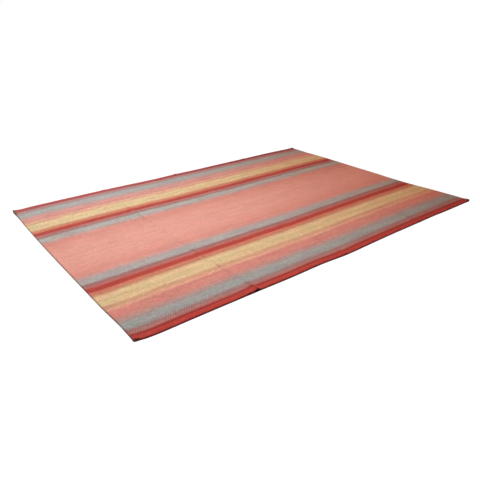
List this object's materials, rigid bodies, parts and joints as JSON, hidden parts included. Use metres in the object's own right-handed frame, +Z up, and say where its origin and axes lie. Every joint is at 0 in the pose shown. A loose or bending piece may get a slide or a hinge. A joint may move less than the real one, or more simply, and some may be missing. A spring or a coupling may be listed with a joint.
{
  "type": "kilim rug",
  "caption": "Flat-woven striped kilim rug lying flat, a hem along each long edge and soft storage creases across it.",
  "frame": {"origin": "middle of the rug's outline, on the floor that the underside rests on", "axes": "+X along the stripes and the 2.4 m length, +Y across the stripes, +Z up"},
  "size_m": [2.42, 1.7028, 0.0177],
  "materials": {
    "woven_cloth": "matte flat weave in salmon, coral, red, grey and sand stripes"
  },
  "bodies": {
    "root": {"kilim_cloth": "woven_cloth"}
  },
  "joints": []
}
